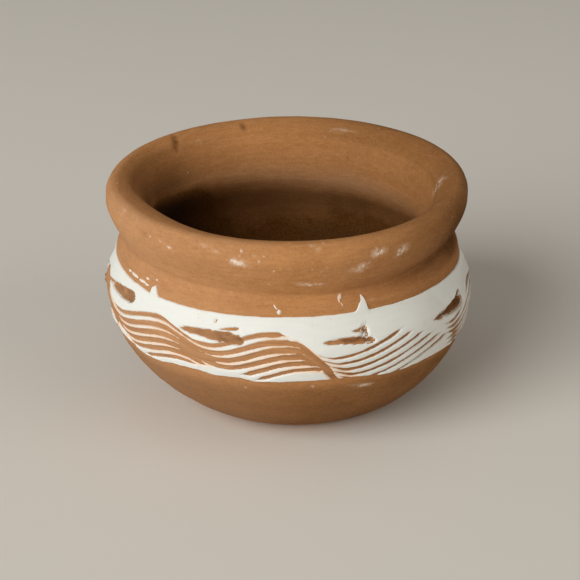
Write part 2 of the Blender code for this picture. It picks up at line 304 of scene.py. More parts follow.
# the comb, the gouge and the edges of the slip band, as distances in millimetres on the wall
# each tooth runs lower and further round than the last, and some press less as they fall
comb = {"teeth": 6, "drop": 2.0, "lean": 1.9, "pinch": (0.5, 0.1, 0, 0, 0, 0), "steep": 0.3,
        "slopeStep": 0.3, "liftTaper": 2.5, "scrapeTaper": 5.5, "outOfClay": -4}
strokes = (
    # turning points of the top tooth; half a groove's width by tooth; first and last angle and what
    # each tooth adds to them; angles to sink in and lift out; where the tool scraped wider; where a
    # tooth left the clay
    {"turns": ((-188, 36.6), (-183, 36.0), (-160, 40.2), (-145, 35.9), (-121, 40.2), (-106, 36.0),
               (-83, 40.2), (-64.5, 35.8), (-42.2, 40.35), (-24.5, 36.75), (-6, 41.1), (-2.5, 41.2),
               (-0.2, 40.8), (16.6, 25.0)),
     "half": (0.60, 0.74, 0.84, 0.84, 0.82, 0.64), "start": (-188, 0.9), "end": (20, -1.9),
     "taper": (3, 2), "scrapes": ((-96, -73, 1.8),),
     "lifts": ((0, 0.0, 60), (4, -65, -59.5), (5, -66, -50), (4, -24.5, -14), (5, -28, -10.3))},
    {"turns": ((5, 36.2), (13.5, 34.0), (50, 41.0)),
     "half": (0.40, 0.42, 0.46, 0.46, 0.46, 0.46), "start": (8.8, 0.9), "end": (35.0, 4.0),
     "taper": (6, 2), "scrapes": (), "lifts": ()},
    {"turns": ((52, 34.3), (58.5, 33.4), (78, 38.6), (99, 35.4), (118, 40.3), (123, 40.1), (141, 24.5)),
     "half": (0.45, 0.62, 0.68, 0.70, 0.70, 0.6), "start": (55, 0.6), "end": (150, 1.9),
     "taper": (4, 2), "scrapes": ((123, 160, 2.3),), "lifts": ((0, 65.5, 72),)},
    {"turns": ((132, 34.3), (138, 34.0), (168, 39.4)),
     "half": (0.36, 0.38, 0.42, 0.42, 0.42, 0.42), "start": (134, 1.5), "end": (162, 2.6),
     "taper": (3, 5), "scrapes": (), "lifts": ()},
)
gouge = {"tear": 0.2, "blunt": 9, "slope": 0.8, "tipDepth": 0.45}  # edges, ends and sides of a dash
dashes = (  # tip, end, half the height at its widest, how soon it widens, depth in the clay, bow
    {"tip": (-108, 38.6), "end": (-86.3, 38.2), "half": 2.0, "power": 0.7, "depth": 1.0},
    {"tip": (-78, 39.9), "end": (-54.9, 41.6), "half": 2.25, "power": 0.75, "depth": 1.0},
    {"tip": (-34, 39.6), "end": (-12.9, 39.0), "half": 1.85, "power": 0.55, "depth": 0.9, "bow": 0.4},
    {"tip": (-21, 41.3), "end": (-14.6, 42.2), "half": 0.42, "power": 0.4, "depth": 0.5},
    {"tip": (-22.3, 42.5), "end": (-21.7, 43.9), "half": 0.36, "power": 0.4, "depth": 0.3},
    {"tip": (10.3, 38.6), "end": (25.9, 37.4), "half": 1.3, "power": 0.45, "depth": 1.0, "bow": 0.5},
    {"tip": (18.9, 40.8), "end": (24.2, 40.5), "half": 0.95, "power": 0.7, "depth": 0.8},
    {"tip": (23.1, 42.0), "end": (23.8, 38.9), "half": 0.6, "power": 0.9, "depth": 2.4},
    {"tip": (48.3, 37.1), "end": (67.3, 37.2), "half": 2.15, "power": 0.75, "depth": 2.0},
    {"tip": (61.5, 38.4), "end": (67.2, 39.7), "half": 0.6, "power": 0.4, "depth": 1.4},
    {"tip": (89.5, 39.8), "end": (108.5, 39.2), "half": 1.2, "power": 0.6, "depth": 1.0},
    {"tip": (129, 39.3), "end": (148, 39.9), "half": 1.35, "power": 0.5, "depth": 1.0},
    {"tip": (166.5, 39.9), "end": (186, 39.3), "half": 1.15, "power": 0.7, "depth": 0.9},
    {"tip": (180, 41.3), "end": (185.5, 41.9), "half": 0.5, "power": 0.5, "depth": 0.5},
    {"tip": (205, 39.5), "end": (224.5, 39.8), "half": 1.25, "power": 0.6, "depth": 1.0},
)
burrs = {"radius": 0.75, "rise": 0.6,  # clay torn up at the far dash's end
         "places": ((-87.0, 38.3), (-87.0, 36.9), (-87.2, 35.4))}
band = {
    "top": ((-81, 46.5), (-57, 45.8), (-48, 45.4), (0, 45.9), (48, 45.4), (77, 44.8), (120, 46.0),
            (180, 45.5), (235, 46.2)),
    "bottom": ((-80, 29.0), (-70, 28.7), (-63, 27.8), (-56, 26.9), (-50.5, 26.0), (-44, 26.4),
               (-35, 27.8), (-28, 28.1), (-22.5, 27.5), (-15, 27.7), (-10, 27.0), (5, 27.4),
               (16.5, 27.2), (34, 25.2), (43, 25.6), (54, 25.3), (63, 24.3), (80, 25.8), (100, 27.2),
               (130, 26.3), (160, 27.7), (190, 26.6), (222, 27.4), (252, 26.4)),
    "runs": ((-46.6, 2.6, 2.8), (-45.7, 0.8, 1.3), (23.2, 0.9, 3.4), (23.4, 1.7, 2.5),
             (24.3, 1.8, 1.7), (124, 3.0, 2.2)),  # angle, height, width
    "thickness": 0.42, "uneven": 0.18, "edge": 0.16,  # full coat, and how soon it is full
    "burr": 0.14, "burrFrom": 0.2, "burrWidth": 0.16, "ragged": 0.066,
    "sinks": 1.6, "deepest": -0.35,  # outside its edge, under the clay
    "thinRidge": 1.35, "thinOver": 0.9,  # ridges narrower than this look thin
    "thickened": 0.7, "thickSide": (15, 25, 230, 40),  # less so at these angles
}
collarEdge = {"follows": -3,  # the first stroke's top tooth, up to this angle
              "turns": ((2, 40.4), (12.5, 34.0), (49, 40.8), (58.5, 33.4), (78, 38.6), (99, 35.4),
                        (121, 40.2), (138, 34.0), (168, 39.4))}
perDegree = math.radians(pot["bellyRadius"])  # millimetres round the belly
farOff = 9.0  # farther than any edge that matters


def bandTop(angle):
    top = roundThrough(band["top"], angle)
    for place, height, width in band["runs"]:
        away = (unwound(angle, place) - place) * perDegree
        top = top + height * np.exp(-((2 * away / width) ** 4))
    return beforeSag(angle, top)


def bandBottom(angle):
    return roundThrough(band["bottom"], angle)


def splitLine(angle):  # where the plain collar ends: along the top tooth's groove, on every stroke
    turns = [t for t in strokes[0]["turns"] if t[0] < collarEdge["follows"]]
    return roundThrough(turns + list(collarEdge["turns"]), angle)


def toothLine(stroke, tooth, angle):  # a tooth's height at an angle: the top tooth's path, moved
    return easedThrough(stroke["turns"], angle - comb["lean"] * tooth) - comb["drop"] * tooth


def combGaps(angle, height):
    # distances from the edges of the nearest and the next groove, each measured square to its
    # tooth's path; negative inside a groove
    near = np.full(np.broadcast(angle, height).shape, farOff)
    following = near.copy()
    step, taper = comb["slopeStep"], comb["scrapeTaper"]
    for stroke in strokes:
        turned = unwound(angle, (stroke["start"][0] + stroke["end"][0]) / 2)
        for tooth in range(comb["teeth"]):
            line, before, after = (toothLine(stroke, tooth, turned + move) for move in (0, -step, step))
            slope = (after - before) / (2 * step)
            start, end = (stroke[key][0] + stroke[key][1] * tooth for key in ("start", "end"))
            ramp = np.minimum((turned - start) / stroke["taper"][0], (end - turned) / stroke["taper"][1])
            for lifted, begin, finish in stroke["lifts"]:
                if lifted == tooth:
                    outside = np.maximum(begin - turned, turned - finish)
                    ramp = np.minimum(ramp, outside / comb["liftTaper"])
            half = stroke["half"][tooth] * np.clip(ramp, comb["outOfClay"], 1)
            falling = ease(-slope / comb["steep"])
            half = half * (1 - comb["pinch"][tooth] * falling)  # less pressed as it falls
            for begin, finish, growth in stroke["scrapes"]:
                half = half * (1 + (growth - 1) * between(turned, begin, taper, finish, taper))
            away = np.abs(height - line) / np.hypot(1, slope / perDegree) - half
            following = np.minimum(following, np.maximum(near, away))
            near = np.minimum(near, away)
    return near, following


def dashGap(angle, height):
    # distance from the nearest dash's edge, negative inside, and the depth gouged from the clay
    shape = np.broadcast(angle, height).shape
    gap, depth = np.full(shape, farOff), np.zeros(shape)
    torn = gouge["tear"] * patchy(angle, height, 1.2, 0.9, 36)
    for dash in dashes:
        (tipAngle, tipHeight), (endAngle, endHeight) = dash["tip"], dash["end"]
        x, y = (unwound(angle, tipAngle) - tipAngle) * perDegree, height - tipHeight
        along = np.array([(endAngle - tipAngle) * perDegree, endHeight - tipHeight])
        length = np.hypot(*along)
        share = (x * along[0] + y * along[1]) / length**2
        within = np.clip(share, 0, 1)
        bow = 4 * dash.get("bow", 0) * within * (1 - within)
        off = (y * along[0] - x * along[1]) / length - bow
        half = dash["half"] * within ** dash["power"]  # pointed tip
        half = half * np.sqrt(1 - within ** gouge["blunt"])  # blunt end
        away = np.maximum(np.abs(off) - half, np.maximum(-share, share - 1) * length)
        away = away + min(1, dash["half"]) * torn
        gap = np.minimum(gap, away)
        deepening = gouge["tipDepth"] + (1 - gouge["tipDepth"]) * within
        depth = np.maximum(depth, dash["depth"] * ease(-away / gouge["slope"]) * deepening)
    for place, middle in burrs["places"]:
        reach = np.hypot((unwound(angle, place) - place) * perDegree, height - middle) / burrs["radius"]
        depth = depth - burrs["rise"] * np.exp(-(reach**2))
    return gap, depth


def slipGap(angle, height):
    # distance into the slip from its nearest edge, negative on bare clay; and how thin a ridge is
    near, following = combGaps(angle, height)
    gap = np.minimum(bandTop(angle) - height, height - bandBottom(angle))
    gap = np.minimum(np.minimum(gap, near), dashGap(angle, height)[0])
    rough = patchy(angle, height, 1.1, 0.8, 11) + patchy(angle, height, 3.5, 2.4, 12)
    thin = ease((band["thinRidge"] - near - following) / band["thinOver"])
    thin = thin * (1 - band["thickened"] * between(rightward(angle), *band["thickSide"]))
    return gap + band["ragged"] * rough, thin


def buried(gap):  # how far the slip dips under the clay outside its edge
    return np.maximum(band["sinks"] * gap, band["deepest"])


def slipLift(gap, angle, height):
    # height of the slip over the clay: it swells from its edge to a full coat, with a burr where
    # a tool pushed it up, and dips under the clay outside
    full = band["thickness"] * (1 + band["uneven"] * patchy(angle, height, 6, 3, 21))
    burr = band["burr"] * (0.6 + 0.5 * patchy(angle, height, 2.2, 2, 22))
    streak = 0.006 * patchy(angle, height, 25, 0.7, 23) + 0.012 * patchy(angle, height, 14, 2.3, 24)
    inside = full * (1 - np.exp(-gap.clip(0) / band["edge"])) + streak * ease(gap / 0.6)
    inside = inside + burr * np.exp(-(((gap - band["burrFrom"]) / band["burrWidth"]) ** 2))
    return np.where(gap > 0, inside, buried(gap))


# meshes
def meshFrom(name, points, quads):
    mesh = bpy.data.meshes.new(name)
    mesh.vertices.add(len(points))
    mesh.vertices.foreach_set("co", np.ascontiguousarray(points, np.float32).ravel())
    mesh.loops.add(quads.size)
    mesh.loops.foreach_set("vertex_index", quads.astype(np.int32).ravel())
    mesh.polygons.add(len(quads))
    mesh.polygons.foreach_set("loop_start", np.arange(0, quads.size, 4, dtype=np.int32))
    mesh.update(calc_edges=True)
    mesh.shade_smooth()
    return mesh


def addPiece(name, mesh, material, nodes):
    piece = bpy.data.objects.new(name, mesh)
    bpy.context.scene.collection.objects.link(piece)
    mesh.materials.append(material)
    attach(piece, "root")
    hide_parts(*nodes)
    return piece


def setAttribute(mesh, name, values):
    attribute = mesh.attributes.new(name, "FLOAT", "POINT")
    attribute.data.foreach_set("value", values.astype(np.float32).ravel())


def wrapQuads(columns, rows):  # quads of a grid that closes both ways, facing out
    i, j = np.meshgrid(np.arange(columns), np.arange(rows), indexing="ij")
    k, m = (i + 1) % columns, (j + 1) % rows
    return np.stack([i * rows + j, i * rows + m, k * rows + m, k * rows + j], -1).reshape(-1, 4)


# materials
def newSocket(group, name, way, value=0):
    socket = group.interface.new_socket(name=name, in_out=way, socket_type="NodeSocketFloat")
    socket.default_value = value


class Nodes:  # short ways to add and join nodes in one tree
    def __init__(self, tree):
        self.tree = tree

    def add(self, kind, inputs=None, **settings):
        node = self.tree.nodes.new(kind)
        for key, value in settings.items():
            setattr(node, key, value)
        for key, value in (inputs or {}).items():
            self.feed(node.inputs[key], value)
        return node

    def feed(self, socket, value):
        if isinstance(value, bpy.types.NodeSocket):
            self.tree.links.new(value, socket)
        else:
            socket.default_value = value

    def math(self, operation, a, b=0.0):
        return self.add("ShaderNodeMath", {0: a, 1: b}, operation=operation).outputs[0]

    def times(self, a, b):
        return self.math("MULTIPLY", a, b)

    def plus(self, a, b):
        return self.math("ADD", a, b)

    def mix(self, share, a, b):
        node = self.add("ShaderNodeMix", {"Factor": share, "A": a, "B": b}, data_type="RGBA")
        return node.outputs["Result"]

    def ramp(self, value, low, high):  # 0 below low, 1 above high
        node = self.add("ShaderNodeMapRange", {0: value, 1: low, 2: high}, interpolation_type="SMOOTHSTEP")
        return node.outputs[0]

    def noise(self, scale, detail=3.0, roughness=0.55, vector=None):
        node = self.add("ShaderNodeTexNoise", {"Scale": scale, "Detail": detail, "Roughness": roughness})
        if vector is not None:
            self.feed(node.inputs["Vector"], vector)
        return node.outputs["Fac"]

    def attribute(self, name):
        return self.add("ShaderNodeAttribute", attribute_name=name).outputs["Fac"]


def firedGrainGroup():
    # mottle: slow patches; grit: small specks; height: fine grain for bump
    group = bpy.data.node_groups.new("firedGrain", "ShaderNodeTree")
    newSocket(group, "Patch Scale", "INPUT", 70)
    newSocket(group, "Grit Scale", "INPUT", 900)
    for name in ("Mottle", "Grit", "Height"):
        newSocket(group, name, "OUTPUT")
    n = Nodes(group)
    given = n.add("NodeGroupInput")
    place = n.add("ShaderNodeTexCoord").outputs["Object"]
    mottle = n.noise(given.outputs["Patch Scale"], 4.0, 0.6, place)
    grain = n.noise(given.outputs["Grit Scale"], 4.0, 0.65, place)
    specks = n.add("ShaderNodeTexVoronoi", {"Scale": given.outputs["Grit Scale"], "Vector": place})
    grit = n.times(n.ramp(specks.outputs["Distance"], 0.28, 0.12), n.ramp(grain, 0.5, 0.62))
    out = n.add("NodeGroupOutput")
    n.feed(out.inputs["Mottle"], n.ramp(mottle, 0.3, 0.7))
    n.feed(out.inputs["Grit"], grit)
    n.feed(out.inputs["Height"], n.math("SUBTRACT", grain, n.times(grit, 0.4)))
    return group


def wheelLinesGroup():
    # rings left by fingers or a brush as the pot turned: a sine of the height, shifted by slow noise
    group = bpy.data.node_groups.new("wheelLines", "ShaderNodeTree")
    newSocket(group, "Lines Per Metre", "INPUT", 900)
    newSocket(group, "Drift", "INPUT", 9)
    newSocket(group, "Rings", "OUTPUT")
    n = Nodes(group)
    given = n.add("NodeGroupInput")
    place = n.add("ShaderNodeTexCoord").outputs["Object"]
    height = n.add("ShaderNodeSeparateXYZ", {0: place}).outputs["Z"]
    drift = n.times(n.noise(45.0, 2.0, 0.5, place), given.outputs["Drift"])
    turns = n.times(height, n.times(given.outputs["Lines Per Metre"], 2 * math.pi))
    rings = n.math("SINE", n.plus(turns, drift))
    flat = n.add("ShaderNodeMapping", {0: place, "Scale": (60, 60, 2600)}).outputs[0]
    broken = n.noise(1.0, 3.0, 0.6, flat)
    out = n.add("NodeGroupOutput")
    n.feed(out.inputs["Rings"], n.plus(n.times(rings, 0.15), broken))
    return group


def newMaterial(name):
    material = bpy.data.materials.new(name)
    material.use_nodes = True
    nodes = Nodes(material.node_tree)
    return material, nodes, material.node_tree.nodes["Principled BSDF"]


clayFinish = {
    "light": (0.56, 0.268, 0.102, 1), "dark": (0.37, 0.160, 0.052, 1), "grit": (0.25, 0.11, 0.05, 1),
    "scraped": (0.49, 0.250, 0.112, 1), "torn": (0.33, 0.150, 0.058, 1),
    # stain and stainLight colour real marks and also painted shade; deepShade is painted deep shade inside
    # and under the right rim
    "stain": (0.084, 0.031, 0.0045, 1), "stainLight": (0.158, 0.058, 0.009, 1),
    "deepShade": (0.028, 0.010, 0.003, 1), "film": (0.72, 0.54, 0.39, 1), "chalk": (0.80, 0.68, 0.56, 1),
    "grain": {"Patch Scale": 60.0, "Grit Scale": 1300.0},
    "rings": {"Lines Per Metre": 620.0, "Drift": 8.0},
    "roughness": (0.78, 0.92), "bump": (0.35, 0.0003), "shine": 0.15,  # a bump's strength and metres
}
slipFinish = {
    "white": (0.785, 0.80, 0.76, 1), "cool": (0.735, 0.765, 0.745, 1), "thin": (0.84, 0.66, 0.51, 1),
    # smearAndPaintedLight colours a real smear on one drop and painted shade on the slip's right side
    "smearAndPaintedLight": (0.40, 0.29, 0.20, 1), "stain": (0.62, 0.45, 0.30, 1),
    "grain": {"Patch Scale": 110.0, "Grit Scale": 1500.0},
    "rings": {"Lines Per Metre": 450.0, "Drift": 30.0},
    "roughness": (0.55, 0.75), "bump": (0.22, 0.0002), "shine": 0.35,
}


def finished(n, shader, finish, colour, mottle, height):
    # colour as given, rougher with the mottle, bumps from the height, and the finish's own shine
    n.feed(shader.inputs["Base Color"], colour)
    low, high = finish["roughness"]
    rough = n.add("ShaderNodeMapRange", {0: mottle, 3: low, 4: high})
    n.feed(shader.inputs["Roughness"], rough.outputs[0])
    strength, distance = finish["bump"]
    bump = n.add("ShaderNodeBump", {"Height": height, "Strength": strength, "Distance": distance})
    n.feed(shader.inputs["Normal"], bump.outputs[0])
    shader.inputs["Specular IOR Level"].default_value = finish["shine"]


def spunNoise(n, place, along, across, detail, roughness):
    # noise drawn out round the pot: cells per metre round it, and per millimetre down its wall
    spread = n.add("ShaderNodeSeparateXYZ", {0: place})
    x, y = (n.times(spread.outputs[axis], along) for axis in "XY")
    down = n.times(n.attribute("run"), across)
    return n.noise(1.0, detail, roughness, n.add("ShaderNodeCombineXYZ", {0: x, 1: y, 2: down}).outputs[0])


def terracotta(firedGrain, wheelLines):
    material, n, shader = newMaterial("terracotta")
    f = clayFinish
    grain = n.add("ShaderNodeGroup", f["grain"], node_tree=firedGrain)
    rings = n.add("ShaderNodeGroup", f["rings"], node_tree=wheelLines).outputs["Rings"]
    place = n.add("ShaderNodeTexCoord").outputs["Object"]
    spread = n.add("ShaderNodeSeparateXYZ", {0: place})
    along = {"X": n.times(n.attribute("across"), 2.4)}
    along["Y"], along["Z"] = (n.times(spread.outputs[axis], 60.0) for axis in "XY")
    streaks = n.noise(1.0, 4.0, 0.65, n.add("ShaderNodeCombineXYZ", along).outputs[0])
    fine = n.ramp(spunNoise(n, place, 300.0, 0.9, 5.0, 0.7), 0.25, 0.75)
    drawn = n.ramp(spunNoise(n, place, 28.0, 0.35, 3.0, 0.6), 0.3, 0.7)
    speck = n.ramp(n.noise(1700.0, 2.0, 0.6, place), 0.3, 0.7)
    tones = ((grain.outputs["Mottle"], 0.2), (rings, 0.1), (fine, 0.45), (drawn, 0.2), (speck, 0.28))
    tone = -0.19
    for value, share in tones:  # each pattern's share, from dark to light
        tone = n.plus(n.times(value, share), tone)
    colour = n.mix(tone, f["dark"], f["light"])
    colour = n.mix(n.times(grain.outputs["Grit"], 0.5), colour, f["grit"])
    scraped = n.attribute("scraped")
    torn = n.mix(n.ramp(streaks, 0.32, 0.68), f["torn"], f["scraped"])
    colour = n.mix(n.times(scraped, 0.8), colour, torn)
    patches = n.plus(n.times(grain.outputs["Mottle"], 0.35), 0.72)
    # the stain attribute holds real marks and painted shade; past 1 it turns into painted deep shade
    stain = n.attribute("stain")
    stained = n.mix(speck, f["stain"], f["stainLight"])
    colour = n.mix(n.times(stain, patches), colour, stained)
    colour = n.mix(n.ramp(stain, 1.0, 2.0), colour, f["deepShade"])
    # pale film: dust, painted light inside above the shade, and partly a painted highlight on the lit left
    # side
    colour = n.mix(n.times(n.attribute("bloomAndLight"), patches), colour, f["film"])
    dots = n.add("ShaderNodeTexVoronoi", {"Scale": 750.0, "Vector": place})
    chance = n.add("ShaderNodeSeparateColor", {0: dots.outputs["Color"]})
    size = n.times(chance.outputs["Green"], 0.42)
    chosen = n.plus(chance.outputs["Red"], n.times(n.attribute("powder"), 0.17))
    spot = n.ramp(n.math("SUBTRACT", size, dots.outputs["Distance"]), 0.0, 0.22)
    fleck = n.times(spot, n.ramp(chosen, 1.0, 1.06))
    colour = n.mix(n.times(fleck, 0.55), colour, f["film"])
    # pale smears and chalk from scuffs, one of them partly a painted highlight
    scuffAndSheen = n.attribute("scuffAndSheen")
    smearAndPaintedLight = n.times(n.ramp(scuffAndSheen, 0.1, 1.0), n.ramp(n.noise(420.0, 4.0, 0.7, place), 0.36, 0.62))
    colour = n.mix(n.times(smearAndPaintedLight, 0.5), colour, f["film"])
    dust = n.plus(n.noise(800.0, 6.0, 0.75, place), n.times(scuffAndSheen, 0.26))
    colour = n.mix(n.times(n.ramp(dust, 0.67, 0.88), 0.9), colour, f["chalk"])
    height = n.plus(n.times(rings, 0.4), grain.outputs["Height"])
    height = n.plus(height, n.times(n.times(streaks, scraped), 2.0))
    finished(n, shader, f, colour, grain.outputs["Mottle"], height)
    return material


def whiteSlip(firedGrain, wheelLines):
    material, n, shader = newMaterial("whiteSlip")
    f = slipFinish
    grain = n.add("ShaderNodeGroup", f["grain"], node_tree=firedGrain)
    rings = n.add("ShaderNodeGroup", f["rings"], node_tree=wheelLines).outputs["Rings"]
    colour = n.mix(n.times(n.ramp(rings, 0.2, 0.9), 0.4), f["white"], f["cool"])
    colour = n.mix(n.attribute("thin"), colour, f["thin"])
    # a real smear on one drop, and painted shade on the slip's right side
    colour = n.mix(n.attribute("smearAndPaintedLight"), colour, f["smearAndPaintedLight"])
    place = n.add("ShaderNodeTexCoord").outputs["Object"]
    stain = n.times(n.ramp(n.noise(260.0, 5.0, 0.75, place), 0.56, 0.80), 0.35)
    colour = n.mix(stain, colour, f["stain"])
    height = n.plus(n.times(rings, 0.1), n.times(grain.outputs["Height"], 0.8))
    finished(n, shader, f, colour, grain.outputs["Mottle"], height)
    return material


firedGrain = firedGrainGroup()
wheelLines = wheelLinesGroup()
clayMaterial = terracotta(firedGrain, wheelLines)
slipMaterial = whiteSlip(firedGrain, wheelLines)
print("materials made")


# the clay body
def sectionRows():  # places along the section, closer where it is finer
    steps = np.append(0, np.cumsum(1 / pot["perMillimetre"] / section[2]))
    rows = np.linspace(0, steps[-1], int(steps[-1]), endpoint=False)
    return np.interp(rows, steps, np.arange(len(steps)))


scuffsAndSheen = (  # angle, distance down from the lip, length, width, tilt, strength
    (-14.6, 6.3, 3.0, 1.2, -8, 1.4), (-9.7, 3.9, 1.4, 0.7, 20, 0.6), (0.5, 8.4, 1.2, 0.35, 40, 0.8),
    (3.5, 8.6, 1.8, 0.3, 25, 0.7), (7.0, 8.2, 1.6, 0.3, 35, 0.7), (11.0, 8.3, 2.4, 0.35, 30, 0.8),
    (7.0, 13.1, 4.6, 0.8, -5, 1.1), (3.1, 12.4, 1.6, 0.6, 20, 0.6), (27.2, 5.6, 3.2, 1.4, 8, 1.2),
    (21.9, 9.2, 3.6, 1.5, 10, 1.1), (35.6, 6.8, 2.8, 1.8, 25, 1.1), (6.8, 1.1, 1.0, 0.4, 0, 0.9),
    (8.8, 2.3, 1.2, 0.7, 30, 0.9), (-13.6, 3.1, 0.5, 0.5, 0, 0.9), (-5.6, 13.3, 0.6, 0.8, 30, 0.9),
    (30.2, 10.4, 0.6, 0.5, 0, 0.7), (-41.2, 4.8, 0.9, 0.5, 0, 1.2), (-37.5, 6.1, 2.0, 0.5, -20, 1.1),
    (-26.0, 2.7, 1.5, 0.7, -15, 1.2), (-22.0, 3.7, 2.2, 0.5, -25, 0.9), (-61.4, 2.1, 1.4, 0.8, 0, 0.7),
    (-53.2, 2.3, 0.8, 1.0, 0, 0.7), (-44, 9.0, 2.5, 0.8, -10, 0.4), (157, -5.6, 5.2, 1.0, 4, 0.7),
    # the mark at 88 degrees is a pale smear, partly a painted highlight along the right rim's inner top
    (88, -7.0, 5.5, 2.8, -40, 0.75), (60, -3.0, 4.0, 1.2, 0, 0.5), (-141, -7.0, 1.4, 0.9, 0, 0.8),
    (-118, -8.0, 0.9, 0.7, 0, 0.6), (27.2, 24.6, 1.8, 1.2, 0, 0.5), (6.5, 49.7, 0.7, 0.6, 0, 1.0),
    (21.6, 51.7, 4.0, 0.7, -8, 1.4), (-29.3, 54.3, 0.6, 0.6, 0, 0.7), (-13.8, 50.6, 0.7, 0.6, 0, 0.9),
    (120, 7.0, 3.0, 1.2, 10, 0.7), (-150, 8.0, 2.6, 0.9, -12, 0.7))
nicks = (  # angle, distance down from the lip, half length down the section, half width, depth
    (-132.8, -2.2, 1.5, 0.9, 0.35), (-131.6, -4.8, 1.5, 1.0, 0.45), (-130.0, -6.9, 1.3, 0.9, 0.4),
    (-162.2, -4.2, 1.7, 1.0, 0.4), (152.0, -14.0, 0.9, 0.8, 0.35), (139.0, -5.0, 1.0, 1.2, 0.25),
    (-48.0, 4.9, 0.6, 0.8, 0.25), (64.0, 12.0, 1.0, 1.2, 0.3), (-95.0, 2.0, 1.0, 1.6, 0.3))
# painted shade and painted light round the pot, with a pale dusty film; inside, deep painted shade below a
# shade edge that follows the shadow line
paintedShadeAndFilm = {  # angle and height or strength, round the pot
    "shadeEdge": ((-177, 48.4), (-160, 49.9), (-129, 52.3), (-107, 54.7), (0, 52.0), (120, 48.0),
                 (143, 48.8), (168, 47.0)),
    "deepShade": ((-165, 0.49), (-120, 1.9), (-60, 1.6), (0, 1.0), (90, 0.8), (150, 0.78)),
    # low shade: painted shade, most on the right, away from the key lamp
    "lowShade": ((-60, 0.5), (0, 0.62), (45, 0.8), (110, 0.8), (180, 0.55)),
    # painted light on the back wall just above the inside shade; bloom is a pale dusty film outside, partly
    # a painted highlight on the lit left side
    "paintedLightEdge": ((-165, 0.1), (-120, 0.02), (-60, 0.0), (90, 0.02), (145, 0.1)),
    "bloomAndLight": ((-120, 0.05), (-60, 0.14), (-25, 0.09), (5, 0.02), (100, 0.0), (180, 0.05)),
    # strength, the level that it comes in below, and over how many millimetres
    "floorShade": (0.62, 42, 12), "sideShadeBelow": (0.5, 64, 9), "belowLip": (1, -4, 3),
    "lowBelow": (1, 27, 5), "footShade": (0.2, 12, 10),
    "edgeFade": 9, "sideShade": 0.45, "shadedSide": (212, 36, 305, 40), "shadedSideDown": -26,
    "edgeLumps": 15, "paleAbove": 3.5, "paleWidth": 3.2, "paleDown": -4,
}
rimShade = {  # painted shade on the side away from the key lamp: start, rise, end and fall, or start and rise
    "darkness": 0.56, "side": (10, 50, 200, 60), "underRim": (40, 35, 125, 35),
    "corner": (64, 14), "cornerHeight": (47.5, 4.5), "roll": (52, 1.2), "lip": (-1, 12), "rim": (51, 2),
    "creaseLight": 0.4, "creaseWidth": 1.6, "shoulder": (45, 2, 52.5, 1.5), "shoulderEnds": (60, 18),
    "wallShare": 0.8, "shoulderShare": 0.3, "rimShare": 0.25, "insideShare": 0.7, "insideDown": -9,
}
thrown = {  # millimetres
    "rings": 0.05, "ringPitch": 4.1, "lumps": 0.10, "smallLumps": 0.03, "scraped": 0.2,
    "scrapeEdge": 0.4, "bandMargin": 0.3, "bandFrom": 23, "bandTo": 51, "flatFoot": (1.5, 4),
}
# darker in nicks and on torn burrs; darker in the deeper gouges and in the narrow grooves on the right as
# painted shade
dirtAndShade = {"dents": 0.8, "gouges": 0.75, "burrs": 0.45, "narrowGrooves": 0.45, "narrowSide": (8, 8, 128, 8)}
powdered = {"rimFrom": 57, "elsewhere": 0.45, "insideDown": -16}


def fromMark(angle, radius, down, place, low):  # millimetres round and up the wall from a mark's middle
    return np.radians(unwound(angle, place) - place) * radius, low - down


def worn(angle, radius, down):
    # scuffs, and a painted highlight along the right rim's inner top: tilted spots that fade outwards, the
    # strongest one showing; nicks: dents that fade outwards and add up, in millimetres
    scuffAndSheen = np.zeros(np.broadcast(angle, down).shape)
    dents = scuffAndSheen.copy()
    for place, low, length, width, tilt, strength in scuffsAndSheen:
        along, across = tilted(*fromMark(angle, radius, down, place, low), tilt)
        scuffAndSheen = np.maximum(scuffAndSheen, strength * np.exp(-((along / length) ** 2) - (across / width) ** 2))
    for place, low, length, width, depth in nicks:
        x, y = fromMark(angle, radius, down, place, low)
        dents = dents + depth * np.exp(-((x / width) ** 2) - (y / length) ** 2)
    return scuffAndSheen, dents


def paintedInsideShade(angle, height, down, edge):
    # painted shade inside: darker below an edge that follows the shadow line, more on the floor and up the
    # shadowed left wall; none on the lip
    deepShade = roundThrough(paintedShadeAndFilm["deepShade"], angle) * ease((edge - height) / paintedShadeAndFilm["edgeFade"] + 0.5)
    deepShade = deepShade + lowDown(height, *paintedShadeAndFilm["floorShade"])
    sideShade = paintedShadeAndFilm["sideShade"] + lowDown(height, *paintedShadeAndFilm["sideShadeBelow"])
    sideShade = sideShade * between(rightward(angle), *paintedShadeAndFilm["shadedSide"])
    deepShade = np.maximum(deepShade, sideShade * (down > paintedShadeAndFilm["shadedSideDown"]))
    return deepShade * lowDown(down, *paintedShadeAndFilm["belowLip"])


def paintedShadeSide(angle, height, down, outer):
    # painted shade on the side away from the key lamp: most under the rim and in the crease corner, less at
    # the crease itself, least on the shoulder's upper face where light falls, a little less inside
    r, turned = rimShade, rightward(angle)
    corner = comesIn(turned, *r["corner"]) * comesIn(height, *r["cornerHeight"])
    under = np.maximum(corner, comesIn(height, *r["roll"])) * comesIn(down, *r["lip"])
    crease = np.exp(-(((height - pot["creaseHeight"]) / r["creaseWidth"]) ** 2))
    under = under * (1 - r["creaseLight"] * crease) * between(turned, *r["underRim"])
    shoulder = between(height, *r["shoulder"]) * (1 - comesIn(turned, *r["shoulderEnds"]))
    outside = r["wallShare"] - r["shoulderShare"] * shoulder + r["rimShare"] * comesIn(height, *r["rim"])
    dark = r["darkness"] * between(turned, *r["side"]) * np.where(outer, outside + under, 1)
    return np.where(down > r["insideDown"], dark, r["insideShare"] * dark)


